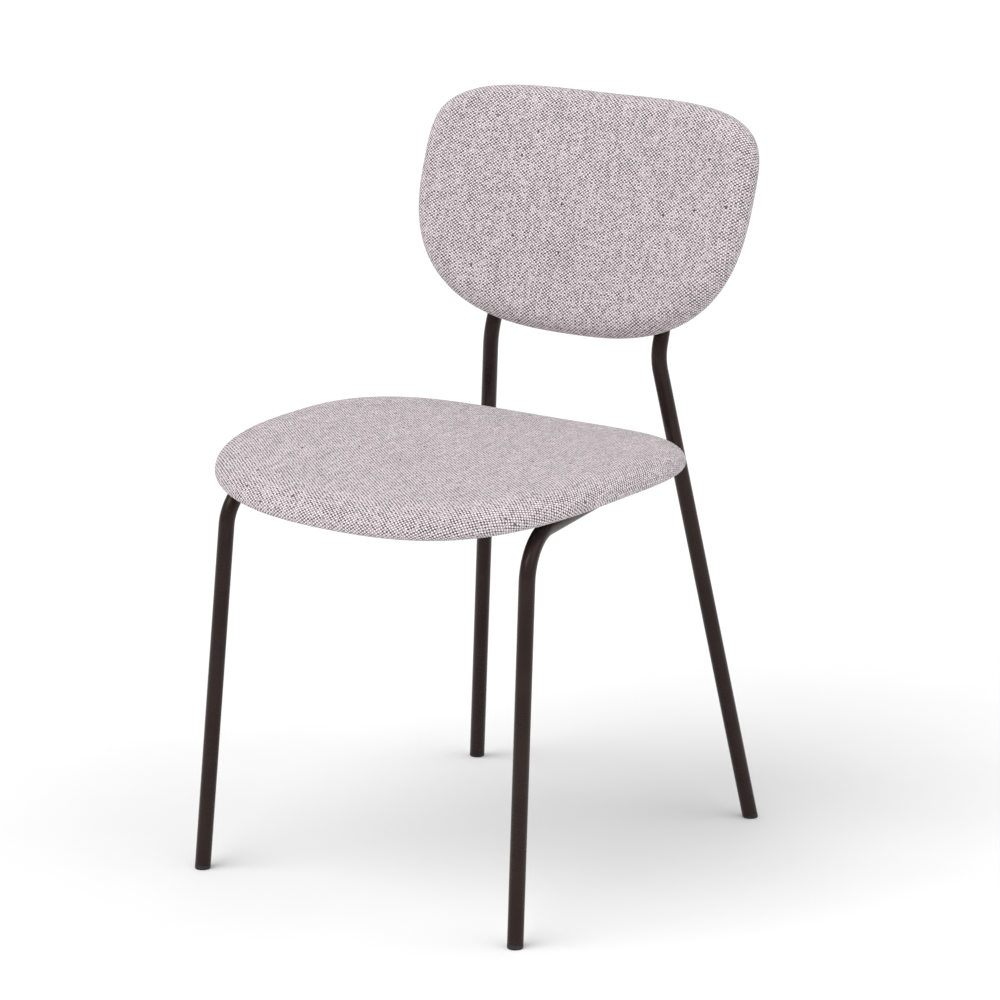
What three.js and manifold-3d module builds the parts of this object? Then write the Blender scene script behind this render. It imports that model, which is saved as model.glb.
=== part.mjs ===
// Upholstered dining chair: a bent steel tube frame that carries a padded plywood seat and a
// padded, curved backrest.
//
// Millimetres, +Z up. The floor is z = 0, X runs across the chair and the sitter faces -Y, so
// +Y is the rear. The origin lies on the floor, under the middle of the chair's whole length.

import * as THREE from 'three';
import { mergeVertices } from 'three/addons/utils/BufferGeometryUtils.js';
import Module from 'manifold-3d';

const wasm = await Module();
wasm.setup();

// ---------------------------------------------------------------- driving dimensions

const GAP = 0.3; // clearance between touching pieces
const CUT_REACH = 50; // how far a cutting rod runs past the piece that it cuts

// Tube frame. A slope is how far a tube's axis travels along X and Y per millimetre of height,
// written for the tube on the +X side.
const TUBE_RADIUS = 9;
const TUBE_WALL = 1.5;
const FRONT_FOOT = { x: 217, y: -239 };
const FRONT_LEG_SLOPE = { x: -0.031, y: 0.097 };
const REAR_FOOT = { x: 198, y: 270 };
const REAR_LEG_SLOPE = { x: -0.146, y: -0.151 };
const RAIL_HEIGHT = 445.4;
const RAIL_BEND_RADIUS = 54;
const POST_BEND_HEIGHT = 559;
const POST_BEND_RADIUS = 65;
const POST_TOP_HEIGHT = 790;
const POST_TOP_SLOPE_X = -0.03;
const TUBE_SIDES = 16;
const BEND_STEPS = 8;

// Crossbars between the side rails
const CROSSBAR_RADIUS = 5;
const CROSSBAR_WALL = 1.2;
const CROSSBAR_HEIGHT = 442.6;
const FRONT_CROSSBAR_Y = -90;
const REAR_CROSSBAR_Y = 120;

// Seat tabs, welded to the inner side of the rails
const TAB_THICKNESS = 3;
const TAB_WIDTH = 26;
const TAB_REACH = 36; // rail axis to the tab's free end
const TAB_HOLE_OFFSET = 24; // rail axis to the screw
const TAB_TOP = 452.2;
const FRONT_TAB_Y = -130;
const REAR_TAB_Y = 87;

// Foot glides and post caps
const GLIDE_HEIGHT = 5; // floor to the tube's end, along the tube
const PLUG_RADIUS = 7;
const PLUG_LENGTH = 18;
const PLUG_CHAMFER = 1.5;
const CAP_HEIGHT = 3;
const CAP_SHOULDER = 0.8; // share of the tube's radius where the dome turns down

// Seat cushion. Reaches are measured from its widest line.
const SEAT_CENTRE_Y = -35.5;
const SEAT_HALF_WIDTH = 247;
const SEAT_FRONT_REACH = 243.5;
const SEAT_REAR_REACH = 207.5;
const SEAT_FRONT_POWER = 3;
const SEAT_REAR_POWER = 2.55;
const SEAT_THICKNESS = 33;
const SEAT_UNDERSIDE = 450; // at the centre
const SEAT_SIDE_RISE = 17.5; // the dish, from the centre to the sides
const SEAT_FRONT_FLAT = 10; // the waterfall front starts this far ahead of the widest line
const SEAT_FRONT_DROP = 13.5;
const SEAT_EDGE = { lowerWidth: 15, lowerHeight: 9, upperWidth: 44 };
const SEAT_RIM = 38; // how far the cover turns in under the seat
const DUST_COVER_INSET = 30; // the dust cover laps over the cover's rim

// Back cushion. It leans back, and curves round the sitter.
const BACK_CENTRE_HEIGHT = 745;
const BACK_RECLINE = THREE.MathUtils.degToRad(19);
const BACK_CURVE_RADIUS = 1030;
const BACK_HALF_WIDTH = 226;
const BACK_UPPER_REACH = 103;
const BACK_LOWER_REACH = 179.5;
const BACK_UPPER_POWER = 3.6;
const BACK_LOWER_POWER = 2.7;
const BACK_THICKNESS = 33.5;
const BACK_EDGE = { lowerWidth: 16, lowerHeight: 16, upperWidth: 22 };
const BACK_RIM = 28;
const BACK_STANDOFF = 0.6; // between the posts and the rear cover

// Layers of both cushions
const FABRIC = 1.5;
const DUST_CLOTH = 0.8;
const PLYWOOD = 10;
const PLYWOOD_INSET = 5;
const PLYWOOD_ROUNDING = 12; // width of the rounding on the panel's lower edge
const PLYWOOD_SHOULDER = { inset: 0.3, height: 0.45 }; // shares, half way round the rounding
const OUTLINE_POINTS = 40;

// Fasteners: M6 button head screws and tee nuts
const SCREW_RADIUS = 3;
const SCREW_HEAD_RADIUS = 5.5;
const SCREW_HEAD_HEIGHT = 3.3;
const SCREW_CHAMFER = 1;
const SCREW_HOLE_RADIUS = 3.5;
const TEE_FLANGE_RADIUS = 8.5;
const TEE_FLANGE_THICKNESS = 1.2;
const TEE_BARREL_RADIUS = 4.3;
const TEE_BORE_RADIUS = 3.4;
const TEE_BARREL_LENGTH = 7;
const TEE_RECESS = 1.2; // flange below the plywood's face
const TEE_CLEARANCE = 0.5; // round the nut in the plywood
const SCREW_END_GAP = 1; // from the screw's end to the nut's flange face
const FASTENER_SIDES = 10;
const BACK_SCREW_HEIGHTS = { lower: 660, upper: 760 };

// ---------------------------------------------------------------- materials

const material = (color, roughness, metalness) => () =>
  new THREE.MeshStandardMaterial({ color, roughness, metalness });

const powderCoat = material(0x2b2423, 0.42, 0.6);
const blackPlastic = material(0x1c1a1a, 0.55, 0);
const upholstery = material(0xbfb4b7, 0.95, 0);
const foam = material(0xe6dcc0, 1, 0);
const plywood = material(0xc29a6b, 0.7, 0);
const zincSteel = material(0xb9bcc0, 0.35, 0.9);
const dustFelt = material(0x232122, 0.95, 0);

// ---------------------------------------------------------------- geometry helpers

function weld(geometry) {
  geometry.deleteAttribute('normal');
  geometry.deleteAttribute('uv');
  return mergeVertices(geometry);
}

function toSolid(geometry) {
  const merged = weld(geometry);
  return new wasm.Manifold(
    new wasm.Mesh({
      numProp: 3,
      vertProperties: new Float32Array(merged.attributes.position.array),
      triVerts: new Uint32Array(merged.index.array),
    })
  );
}

function toGeometry(solid) {
  const mesh = solid.getMesh();
  const geometry = new THREE.BufferGeometry();
  geometry.setAttribute('position', new THREE.BufferAttribute(mesh.vertProperties, 3));
  geometry.setIndex(new THREE.BufferAttribute(mesh.triVerts, 1));
  return geometry;
}

function cut(geometry, ...tools) {
  const solid = tools.reduce((rest, tool) => rest.subtract(toSolid(tool)), toSolid(geometry));
  return toGeometry(solid);
}

// Turns geometry built along +Y so that it points along direction, and moves it to origin.
function along(geometry, origin, direction) {
  const turn = new THREE.Quaternion().setFromUnitVectors(new THREE.Vector3(0, 1, 0), direction);
  return geometry.applyQuaternion(turn).translate(origin.x, origin.y, origin.z);
}

function rod(start, end, radius, sides = 24) {
  const span = end.clone().sub(start);
  const middle = start.clone().add(end).multiplyScalar(0.5);
  const cylinder = new THREE.CylinderGeometry(radius, radius, span.length(), sides);
  return along(cylinder, middle, span.normalize());
}

function ringSection(outerRadius, wall) {
  const section = new THREE.Shape();
  section.absarc(0, 0, outerRadius, 0, 2 * Math.PI);
  const bore = new THREE.Path();
  bore.absarc(0, 0, outerRadius - wall, 0, 2 * Math.PI, true);
  section.holes.push(bore);
  return section;
}

// A straight run, a bend of constant radius and a second straight run. The parameter gives one
// step to each straight run and the rest to the bend.
class BentPath extends THREE.Curve {
  constructor(start, corner, end, radius, bendSteps) {
    super();
    this.steps = bendSteps + 2;
    this.start = start;
    this.end = end;
    this.before = corner.clone().sub(start).normalize();
    this.after = end.clone().sub(corner).normalize();
    this.turn = this.before.angleTo(this.after);
    this.radius = radius;
    this.bendStart = corner.clone().addScaledVector(this.before, -radius * Math.tan(this.turn / 2));
    this.inward = this.after.clone().addScaledVector(this.before, -this.before.dot(this.after));
    this.inward.normalize();
  }

  bendAngle(t) {
    const share = (t * this.steps - 1) / (this.steps - 2);
    return this.turn * THREE.MathUtils.clamp(share, 0, 1);
  }

  getPoint(t) {
    if (t * this.steps < 0.5) return this.start.clone();
    if (t * this.steps > this.steps - 0.5) return this.end.clone();
    const angle = this.bendAngle(t);
    return this.bendStart
      .clone()
      .addScaledVector(this.before, this.radius * Math.sin(angle))
      .addScaledVector(this.inward, this.radius * (1 - Math.cos(angle)));
  }

  getTangent(t) {
    const angle = this.bendAngle(t);
    return this.before
      .clone()
      .multiplyScalar(Math.cos(angle))
      .addScaledVector(this.inward, Math.sin(angle));
  }

  getUtoTmapping(u) {
    return u;
  }
}

function tubeAlong(path, steps, outerRadius, wall) {
  return new THREE.ExtrudeGeometry(ringSection(outerRadius, wall), {
    extrudePath: path,
    steps,
    curveSegments: TUBE_SIDES / 2,
    bevelEnabled: false,
  });
}

// ---------------------------------------------------------------- assembly

const chair = new THREE.Group();

function addPart(name, geometry, makeMaterial) {
  const mesh = new THREE.Mesh(geometry, makeMaterial());
  mesh.name = name;
  chair.add(mesh);
}

const SIDES = [
  { side: 'left', sign: -1 },
  { side: 'right', sign: 1 },
];

// ---------------------------------------------------------------- tube frame

// Point at a height on a leg's straight axis.
function onLeg(foot, slope, sign, height) {
  return new THREE.Vector3(
    sign * (foot.x + slope.x * height),
    foot.y + slope.y * height,
    height
  );
}

const frontLegAt = (sign, height) => onLeg(FRONT_FOOT, FRONT_LEG_SLOPE, sign, height);
const rearLegAt = (sign, height) => onLeg(REAR_FOOT, REAR_LEG_SLOPE, sign, height);

// Point on the reclined upper part of a rear post.
function postAt(sign, height) {
  const above = height - POST_BEND_HEIGHT;
  const rise = new THREE.Vector3(sign * POST_TOP_SLOPE_X, Math.tan(BACK_RECLINE), 1);
  return rearLegAt(sign, POST_BEND_HEIGHT).addScaledVector(rise, above);
}

// Point on the axis of a side rail, at a distance along Y.
function railAt(sign, y) {
  const front = frontLegAt(sign, RAIL_HEIGHT);
  const rear = rearLegAt(sign, RAIL_HEIGHT);
  return front.lerp(rear, (y - front.y) / (rear.y - front.y));
}

function legDirection(legAt, sign) {
  return legAt(sign, 1).sub(legAt(sign, 0)).normalize();
}

// The tube starts above the floor, where its glide's collar ends.
function tubeStart(legAt, sign) {
  return legAt(sign, 0).addScaledVector(legDirection(legAt, sign), GLIDE_HEIGHT);
}

// The front leg and the side rail are one bent tube, coped to fit round the rear post.
function frontLeg(sign) {
  const path = new BentPath(
    tubeStart(frontLegAt, sign),
    frontLegAt(sign, RAIL_HEIGHT),
    rearLegAt(sign, RAIL_HEIGHT),
    RAIL_BEND_RADIUS,
    BEND_STEPS
  );
  const tube = tubeAlong(path, path.steps, TUBE_RADIUS, TUBE_WALL);
  const below = rearLegAt(sign, RAIL_HEIGHT - CUT_REACH);
  const above = rearLegAt(sign, RAIL_HEIGHT + CUT_REACH);
  return cut(tube, rod(below, above, TUBE_RADIUS + GAP));
}

// The rear leg runs on above the seat and bends back to carry the backrest.
function rearPost(sign) {
  const path = new BentPath(
    tubeStart(rearLegAt, sign),
    rearLegAt(sign, POST_BEND_HEIGHT),
    postAt(sign, POST_TOP_HEIGHT),
    POST_BEND_RADIUS,
    BEND_STEPS
  );
  const tube = tubeAlong(path, path.steps, TUBE_RADIUS, TUBE_WALL);
  const holes = backScrewPlaces(sign).map(({ centre, forward }) => {
    const rear = centre.clone().addScaledVector(forward, -2 * TUBE_RADIUS);
    const front = centre.clone().addScaledVector(forward, 2 * TUBE_RADIUS);
    return rod(rear, front, SCREW_HOLE_RADIUS, FASTENER_SIDES);
  });
  return cut(tube, ...holes);
}

// The space of a side rail near a distance along Y, with clearance.
function railRod(sign, y) {
  return rod(railAt(sign, y - CUT_REACH), railAt(sign, y + CUT_REACH), TUBE_RADIUS + GAP);
}

// A round crossbar, coped to both side rails.
function crossbar(y) {
  const ends = SIDES.map(({ sign }) => railAt(sign, y).setZ(CROSSBAR_HEIGHT));
  const path = new THREE.LineCurve3(...ends);
  const tube = tubeAlong(path, 1, CROSSBAR_RADIUS, CROSSBAR_WALL);
  return cut(tube, ...SIDES.map(({ sign }) => railRod(sign, y)));
}

// A flat tab on the rail's inner side, with a hole for the seat screw.
function seatTab(sign, y) {
  const axis = railAt(sign, y);
  const plate = new THREE.BoxGeometry(TAB_REACH, TAB_WIDTH, TAB_THICKNESS);
  plate.translate(axis.x - (sign * TAB_REACH) / 2, y, TAB_TOP - TAB_THICKNESS / 2);
  const hole = seatScrewPlace(sign, y);
  const below = hole.clone().setZ(TAB_TOP - CUT_REACH);
  const above = hole.clone().setZ(TAB_TOP + CUT_REACH);
  return cut(plate, railRod(sign, y), rod(below, above, SCREW_HOLE_RADIUS, FASTENER_SIDES));
}

// Plastic glide: a plug inside the tube and a collar flush with it, cut level with the floor.
function footGlide(legAt, sign) {
  const profile = [
    new THREE.Vector2(0, -TUBE_RADIUS),
    new THREE.Vector2(TUBE_RADIUS, -TUBE_RADIUS),
    new THREE.Vector2(TUBE_RADIUS, GLIDE_HEIGHT - GAP),
    new THREE.Vector2(PLUG_RADIUS, GLIDE_HEIGHT - GAP),
    new THREE.Vector2(PLUG_RADIUS, PLUG_LENGTH),
    new THREE.Vector2(PLUG_RADIUS - PLUG_CHAMFER, PLUG_LENGTH + PLUG_CHAMFER),
    new THREE.Vector2(0, PLUG_LENGTH + PLUG_CHAMFER),
  ];
  const glide = new THREE.LatheGeometry(profile, TUBE_SIDES);
  along(glide, legAt(sign, 0), legDirection(legAt, sign));
  const foot = legAt(sign, 0);
  const underfloor = new THREE.BoxGeometry(CUT_REACH, CUT_REACH, CUT_REACH);
  underfloor.translate(foot.x, foot.y, -CUT_REACH / 2);
  return cut(glide, underfloor);
}

// Domed plastic cap that closes a post's upper end.
function postCap(sign) {
  const profile = [
    new THREE.Vector2(0, -PLUG_LENGTH),
    new THREE.Vector2(PLUG_RADIUS, -PLUG_LENGTH),
    new THREE.Vector2(PLUG_RADIUS, GAP),
    new THREE.Vector2(TUBE_RADIUS, GAP),
    new THREE.Vector2(TUBE_RADIUS, GAP + CAP_HEIGHT / 3),
    new THREE.Vector2(CAP_SHOULDER * TUBE_RADIUS, GAP + CAP_SHOULDER * CAP_HEIGHT),
    new THREE.Vector2(0, GAP + CAP_HEIGHT),
  ];
  const top = postAt(sign, POST_TOP_HEIGHT);
  const direction = top.clone().sub(postAt(sign, POST_TOP_HEIGHT - 1)).normalize();
  return along(new THREE.LatheGeometry(profile, TUBE_SIDES), top, direction);
}

// ---------------------------------------------------------------- cushions

// Outline of a cushion, drawn flat: two superellipse halves that share the widest line y = 0.
class CushionOutline extends THREE.Curve {
  constructor(halfWidth, lowReach, highReach, lowPower, highPower) {
    super();
    Object.assign(this, { halfWidth, lowReach, highReach, lowPower, highPower });
    this.arcLengthDivisions = 600;
  }

  getPoint(t) {
    const angle = 2 * Math.PI * t;
    const high = Math.cos(angle) > 0;
    const reach = high ? this.highReach : this.lowReach;
    const power = high ? this.highPower : this.lowPower;
    const across = Math.abs(Math.sin(angle) / this.halfWidth) ** power;
    const up = Math.abs(Math.cos(angle) / reach) ** power;
    const radius = (across + up) ** (-1 / power);
    return new THREE.Vector2(radius * Math.sin(angle), radius * Math.cos(angle));
  }

  // Ring of points, moved in from the outline by inset and then shrunk towards the centre.
  ring(inset, share) {
    const points = this.getSpacedPoints(OUTLINE_POINTS).slice(0, OUTLINE_POINTS);
    return points.map((point, i) => {
      const next = points[(i + 1) % OUTLINE_POINTS];
      const previous = points[(i + OUTLINE_POINTS - 1) % OUTLINE_POINTS];
      const run = next.clone().sub(previous).normalize();
      const inward = new THREE.Vector2(run.y, -run.x);
      return point.clone().addScaledVector(inward, inset).multiplyScalar(share);
    });
  }
}

// Lofts a closed layer through stages. Each stage is a ring at an inset from the outline, a share
// of the way out from the centre and a height in the cushion. The first and last stages are single
// points on the centre. Quads are split the same way on every layer, so layers stay parallel.
function loftLayer({ outline, place }, stages) {
  const positions = [];
  const triangles = [];
  const rings = stages.slice(1, -1);
  const push = (x, y, height) => positions.push(...place(x, y, height).toArray());
  push(0, 0, stages[0].height);
  for (const { inset, share = 1, height } of rings) {
    for (const point of outline.ring(inset, share)) push(point.x, point.y, height);
  }
  push(0, 0, stages[stages.length - 1].height);
  const apex = 1 + rings.length * OUTLINE_POINTS;
  for (let i = 0; i < OUTLINE_POINTS; i++) {
    const j = (i + 1) % OUTLINE_POINTS;
    const firstHalf = i < OUTLINE_POINTS / 2;
    triangles.push(0, 1 + j, 1 + i);
    rings.slice(1).forEach((next, ring) => {
      const here = 1 + ring * OUTLINE_POINTS;
      const there = here + OUTLINE_POINTS;
      const grows = spread(next) > spread(rings[ring]);
      if (grows === firstHalf) {
        triangles.push(here + i, here + j, there + i);
        triangles.push(here + j, there + j, there + i);
      } else {
        triangles.push(here + i, here + j, there + j);
        triangles.push(here + i, there + j, there + i);
      }
    });
    triangles.push(apex - OUTLINE_POINTS + i, apex - OUTLINE_POINTS + j, apex);
  }
  const geometry = new THREE.BufferGeometry();
  geometry.setAttribute('position', new THREE.Float32BufferAttribute(positions, 3));
  geometry.setIndex(triangles);
  return geometry;
}

// Orders stages by how far out they lie.
function spread({ inset, share = 1 }) {
  return share * 1000 - inset;
}

// Heights run from 0 on the underside to the cushion's thickness on the padded face.
const seat = {
  thickness: SEAT_THICKNESS,
  edge: SEAT_EDGE,
  rim: SEAT_RIM,
  outline: new CushionOutline(
    SEAT_HALF_WIDTH,
    SEAT_FRONT_REACH,
    SEAT_REAR_REACH,
    SEAT_FRONT_POWER,
    SEAT_REAR_POWER
  ),
  place(x, y, height) {
    const side = x / SEAT_HALF_WIDTH;
    const front = Math.max(0, -y - SEAT_FRONT_FLAT) / (SEAT_FRONT_REACH - SEAT_FRONT_FLAT);
    const lift = SEAT_SIDE_RISE * side ** 2 - SEAT_FRONT_DROP * front ** 2;
    return new THREE.Vector3(x, y + SEAT_CENTRE_Y, SEAT_UNDERSIDE + lift + height);
  },
};

// The back's neutral surface passes in front of the posts by its standoff.
const BACK_CENTRE_Y = (() => {
  const post = postAt(1, BACK_CENTRE_HEIGHT);
  const postRadius = BACK_CURVE_RADIUS + BACK_THICKNESS / 2 + BACK_STANDOFF + TUBE_RADIUS;
  const depth = BACK_CURVE_RADIUS - Math.sqrt(postRadius ** 2 - post.x ** 2);
  return post.y + depth / Math.cos(BACK_RECLINE);
})();

const back = {
  thickness: BACK_THICKNESS,
  edge: BACK_EDGE,
  rim: BACK_RIM,
  outline: new CushionOutline(
    BACK_HALF_WIDTH,
    BACK_LOWER_REACH,
    BACK_UPPER_REACH,
    BACK_LOWER_POWER,
    BACK_UPPER_POWER
  ),
  place(x, y, height) {
    const angle = x / BACK_CURVE_RADIUS;
    const radius = BACK_CURVE_RADIUS + BACK_THICKNESS / 2 - height;
    const forward = BACK_CURVE_RADIUS - radius * Math.cos(angle);
    return new THREE.Vector3(
      radius * Math.sin(angle),
      BACK_CENTRE_Y + y * Math.sin(BACK_RECLINE) - forward * Math.cos(BACK_RECLINE),
      BACK_CENTRE_HEIGHT + y * Math.cos(BACK_RECLINE) + forward * Math.sin(BACK_RECLINE)
    );
  },
};

// Stages round the edge of a cushion, from the padded face down to the underside, for a skin
// that lies a depth inside the outer surface.
function edgeStages({ thickness, edge }, depth, upperSteps, lowerSteps) {
  const upperHeight = thickness - edge.lowerHeight;
  const quarter = (steps, width, rise, sign) =>
    Array.from({ length: steps + 1 }, (_, i) => {
      const angle = (Math.PI / 2) * (sign > 0 ? 1 - i / steps : i / steps);
      return {
        inset: depth + (width - depth) * (1 - Math.cos(angle)),
        height: edge.lowerHeight + sign * (rise - depth) * Math.sin(angle),
      };
    });
  const upper = quarter(upperSteps, edge.upperWidth, upperHeight, 1);
  const lower = quarter(lowerSteps, edge.lowerWidth, edge.lowerHeight, -1);
  return [...upper.slice(1), ...lower.slice(1)];
}

// Rings across the padded face, from the centre out to the start of the edge.
function faceStages({ edge }, height, shares) {
  return shares.map((share) => ({ inset: edge.upperWidth, share, height }));
}

const FACE_SHARES = [0, 0.45, 0.8, 1];
const FACE_SHARES_IN = [...FACE_SHARES].reverse();

// The cover is one skin over the face and the edge that turns in under the rim.
function cushionCover(cushion) {
  const { thickness, rim } = cushion;
  const outer = [
    ...faceStages(cushion, thickness, FACE_SHARES),
    ...edgeStages(cushion, 0, 4, 3),
    { inset: rim, height: 0 },
  ];
  const inner = [
    ...faceStages(cushion, thickness - FABRIC, FACE_SHARES),
    ...edgeStages(cushion, FABRIC, 4, 3),
    { inset: rim, height: FABRIC },
  ];
  return loftLayer(cushion, [...outer, ...inner.reverse()]);
}

// The foam lies between the cover and the plywood.
function cushionFoam(cushion) {
  const base = FABRIC + 2 * GAP + PLYWOOD;
  const depth = FABRIC + GAP;
  const edge = edgeStages(cushion, depth, 4, 3).filter((stage) => stage.height > base + 1);
  return loftLayer(cushion, [
    ...faceStages(cushion, cushion.thickness - depth, FACE_SHARES),
    ...edge,
    { inset: PLYWOOD_INSET, height: base },
    ...faceStages(cushion, base, FACE_SHARES_IN),
  ]);
}

// Plywood shell with its lower edge rounded, drilled for the tee nuts.
function cushionPanel(cushion, nuts) {
  const bottom = FABRIC + GAP;
  const top = bottom + PLYWOOD;
  const body = loftLayer(cushion, [
    ...faceStages(cushion, top, FACE_SHARES),
    { inset: PLYWOOD_INSET, height: top },
    {
      inset: PLYWOOD_INSET + PLYWOOD_ROUNDING * PLYWOOD_SHOULDER.inset,
      height: bottom + PLYWOOD * PLYWOOD_SHOULDER.height,
    },
    { inset: PLYWOOD_INSET + PLYWOOD_ROUNDING, height: bottom },
    ...faceStages(cushion, bottom, FACE_SHARES_IN),
  ]);
  const tools = nuts.flatMap(({ seatFace, forward }) => {
    const pocket = TEE_RECESS + TEE_FLANGE_THICKNESS + GAP;
    const start = seatFace.clone().addScaledVector(forward, -CUT_REACH);
    const flange = seatFace.clone().addScaledVector(forward, -pocket);
    const end = seatFace.clone().addScaledVector(forward, CUT_REACH);
    return [
      rod(start, end, TEE_BARREL_RADIUS + TEE_CLEARANCE, FASTENER_SIDES),
      rod(flange, end, TEE_FLANGE_RADIUS + TEE_CLEARANCE, FASTENER_SIDES),
    ];
  });
  return cut(body, ...tools);
}

// Thin sheet that closes the underside or the rear, between the two heights given.
function closingSheet(cushion, inset, low, high, nuts) {
  const body = loftLayer(cushion, [
    ...FACE_SHARES.map((share) => ({ inset, share, height: high })),
    ...FACE_SHARES_IN.map((share) => ({ inset, share, height: low })),
  ]);
  const holes = nuts.map(({ seatFace, forward }) => {
    const start = seatFace.clone().addScaledVector(forward, -CUT_REACH);
    return rod(start, seatFace, TEE_BARREL_RADIUS, FASTENER_SIDES);
  });
  return cut(body, ...holes);
}

// ---------------------------------------------------------------- fasteners

// Where a seat screw crosses the top of its tab.
function seatScrewPlace(sign, y) {
  return railAt(sign, y).add(new THREE.Vector3(-sign * TAB_HOLE_OFFSET, 0, 0)).setZ(TAB_TOP);
}

// Where the back screws cross the post axis, with the direction to the sitter.
function backScrewPlaces(sign) {
  return Object.entries(BACK_SCREW_HEIGHTS).map(([level, height]) => {
    const centre = postAt(sign, height);
    const dy = centre.y - BACK_CENTRE_Y;
    const dz = centre.z - BACK_CENTRE_HEIGHT;
    const depth = dz * Math.sin(BACK_RECLINE) - dy * Math.cos(BACK_RECLINE);
    const angle = Math.atan2(centre.x, BACK_CURVE_RADIUS - depth);
    const forward = new THREE.Vector3(
      -Math.sin(angle),
      -Math.cos(angle) * Math.cos(BACK_RECLINE),
      Math.cos(angle) * Math.sin(BACK_RECLINE)
    );
    const upward = dy * Math.sin(BACK_RECLINE) + dz * Math.cos(BACK_RECLINE);
    return { level, centre, forward, across: angle * BACK_CURVE_RADIUS, upward };
  });
}

// Button head screw with its shank along +Y from under the head.
function screw(length) {
  const profile = [
    new THREE.Vector2(0, -SCREW_HEAD_HEIGHT),
    new THREE.Vector2(0.55 * SCREW_HEAD_RADIUS, -SCREW_HEAD_HEIGHT),
    new THREE.Vector2(0.9 * SCREW_HEAD_RADIUS, -0.6 * SCREW_HEAD_HEIGHT),
    new THREE.Vector2(SCREW_HEAD_RADIUS, 0),
    new THREE.Vector2(SCREW_RADIUS, 0),
    new THREE.Vector2(SCREW_RADIUS, length - SCREW_CHAMFER),
    new THREE.Vector2(SCREW_RADIUS - SCREW_CHAMFER, length),
    new THREE.Vector2(0, length),
  ];
  return new THREE.LatheGeometry(profile, FASTENER_SIDES);
}

// Tee nut with its flange at y = 0 and its barrel towards -Y.
function teeNut() {
  const flangeBack = -TEE_FLANGE_THICKNESS;
  const barrelEnd = flangeBack - TEE_BARREL_LENGTH;
  const profile = [
    new THREE.Vector2(TEE_BORE_RADIUS, 0),
    new THREE.Vector2(TEE_BORE_RADIUS, barrelEnd),
    new THREE.Vector2(TEE_BARREL_RADIUS, barrelEnd),
    new THREE.Vector2(TEE_BARREL_RADIUS, flangeBack),
    new THREE.Vector2(TEE_FLANGE_RADIUS, flangeBack),
    new THREE.Vector2(TEE_FLANGE_RADIUS, 0),
    new THREE.Vector2(TEE_BORE_RADIUS, 0),
  ];
  return new THREE.LatheGeometry(profile, FASTENER_SIDES);
}

// Place on a cushion's plywood where a tee nut sits, on the side that faces the foam.
function nutPlace(cushion, x, y, forward) {
  const panelTop = FABRIC + GAP + PLYWOOD;
  return { seatFace: cushion.place(x, y, panelTop), forward };
}

function addFastener(name, nut, headPoint) {
  const flange = nut.seatFace.clone().addScaledVector(nut.forward, -TEE_RECESS);
  const length = flange.clone().sub(headPoint).dot(nut.forward) - SCREW_END_GAP;
  const headSeat = headPoint.clone().addScaledVector(nut.forward, -GAP);
  addPart(`${name}_screw`, along(screw(length), headSeat, nut.forward), zincSteel);
  addPart(`${name}_tee_nut`, along(teeNut(), flange, nut.forward), zincSteel);
}

// ---------------------------------------------------------------- build

const TAB_PLACES = [
  { place: 'front', y: FRONT_TAB_Y },
  { place: 'rear', y: REAR_TAB_Y },
];
const up = new THREE.Vector3(0, 0, 1);
const seatNuts = [];
const backNuts = [];

for (const { side, sign } of SIDES) {
  addPart(`front_leg_${side}`, frontLeg(sign), powderCoat);
  addPart(`rear_post_${side}`, rearPost(sign), powderCoat);
  addPart(`post_cap_${side}`, postCap(sign), blackPlastic);
  addPart(`foot_glide_front_${side}`, footGlide(frontLegAt, sign), blackPlastic);
  addPart(`foot_glide_rear_${side}`, footGlide(rearLegAt, sign), blackPlastic);

  for (const { place, y } of TAB_PLACES) {
    addPart(`seat_tab_${place}_${side}`, seatTab(sign, y), powderCoat);
    const hole = seatScrewPlace(sign, y);
    const nut = nutPlace(seat, hole.x, hole.y - SEAT_CENTRE_Y, up);
    seatNuts.push(nut);
    addFastener(`seat_${place}_${side}`, nut, hole.clone().setZ(TAB_TOP - TAB_THICKNESS));
  }

  for (const { level, centre, forward, across, upward } of backScrewPlaces(sign)) {
    const nut = nutPlace(back, across, upward, forward);
    backNuts.push(nut);
    const tubeRear = centre.clone().addScaledVector(forward, -TUBE_RADIUS);
    addFastener(`back_${level}_${side}`, nut, tubeRear);
  }
}

addPart('crossbar_front', crossbar(FRONT_CROSSBAR_Y), powderCoat);
addPart('crossbar_rear', crossbar(REAR_CROSSBAR_Y), powderCoat);

addPart('seat_panel', cushionPanel(seat, seatNuts), plywood);
addPart('seat_foam', cushionFoam(seat), foam);
addPart('seat_cover', cushionCover(seat), upholstery);
const dustLow = -DUST_CLOTH - GAP;
addPart('seat_dust_cover', closingSheet(seat, DUST_COVER_INSET, dustLow, -GAP, seatNuts), dustFelt);

addPart('back_panel', cushionPanel(back, backNuts), plywood);
addPart('back_foam', cushionFoam(back), foam);
addPart('back_cover', cushionCover(back), upholstery);
addPart(
  'back_rear_cover',
  closingSheet(back, BACK_RIM + GAP, 0, FABRIC, backNuts),
  upholstery
);

export default chair;
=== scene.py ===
import math

import bmesh
import bpy
import numpy as np
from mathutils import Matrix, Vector
from mathutils.bvhtree import BVHTree


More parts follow.
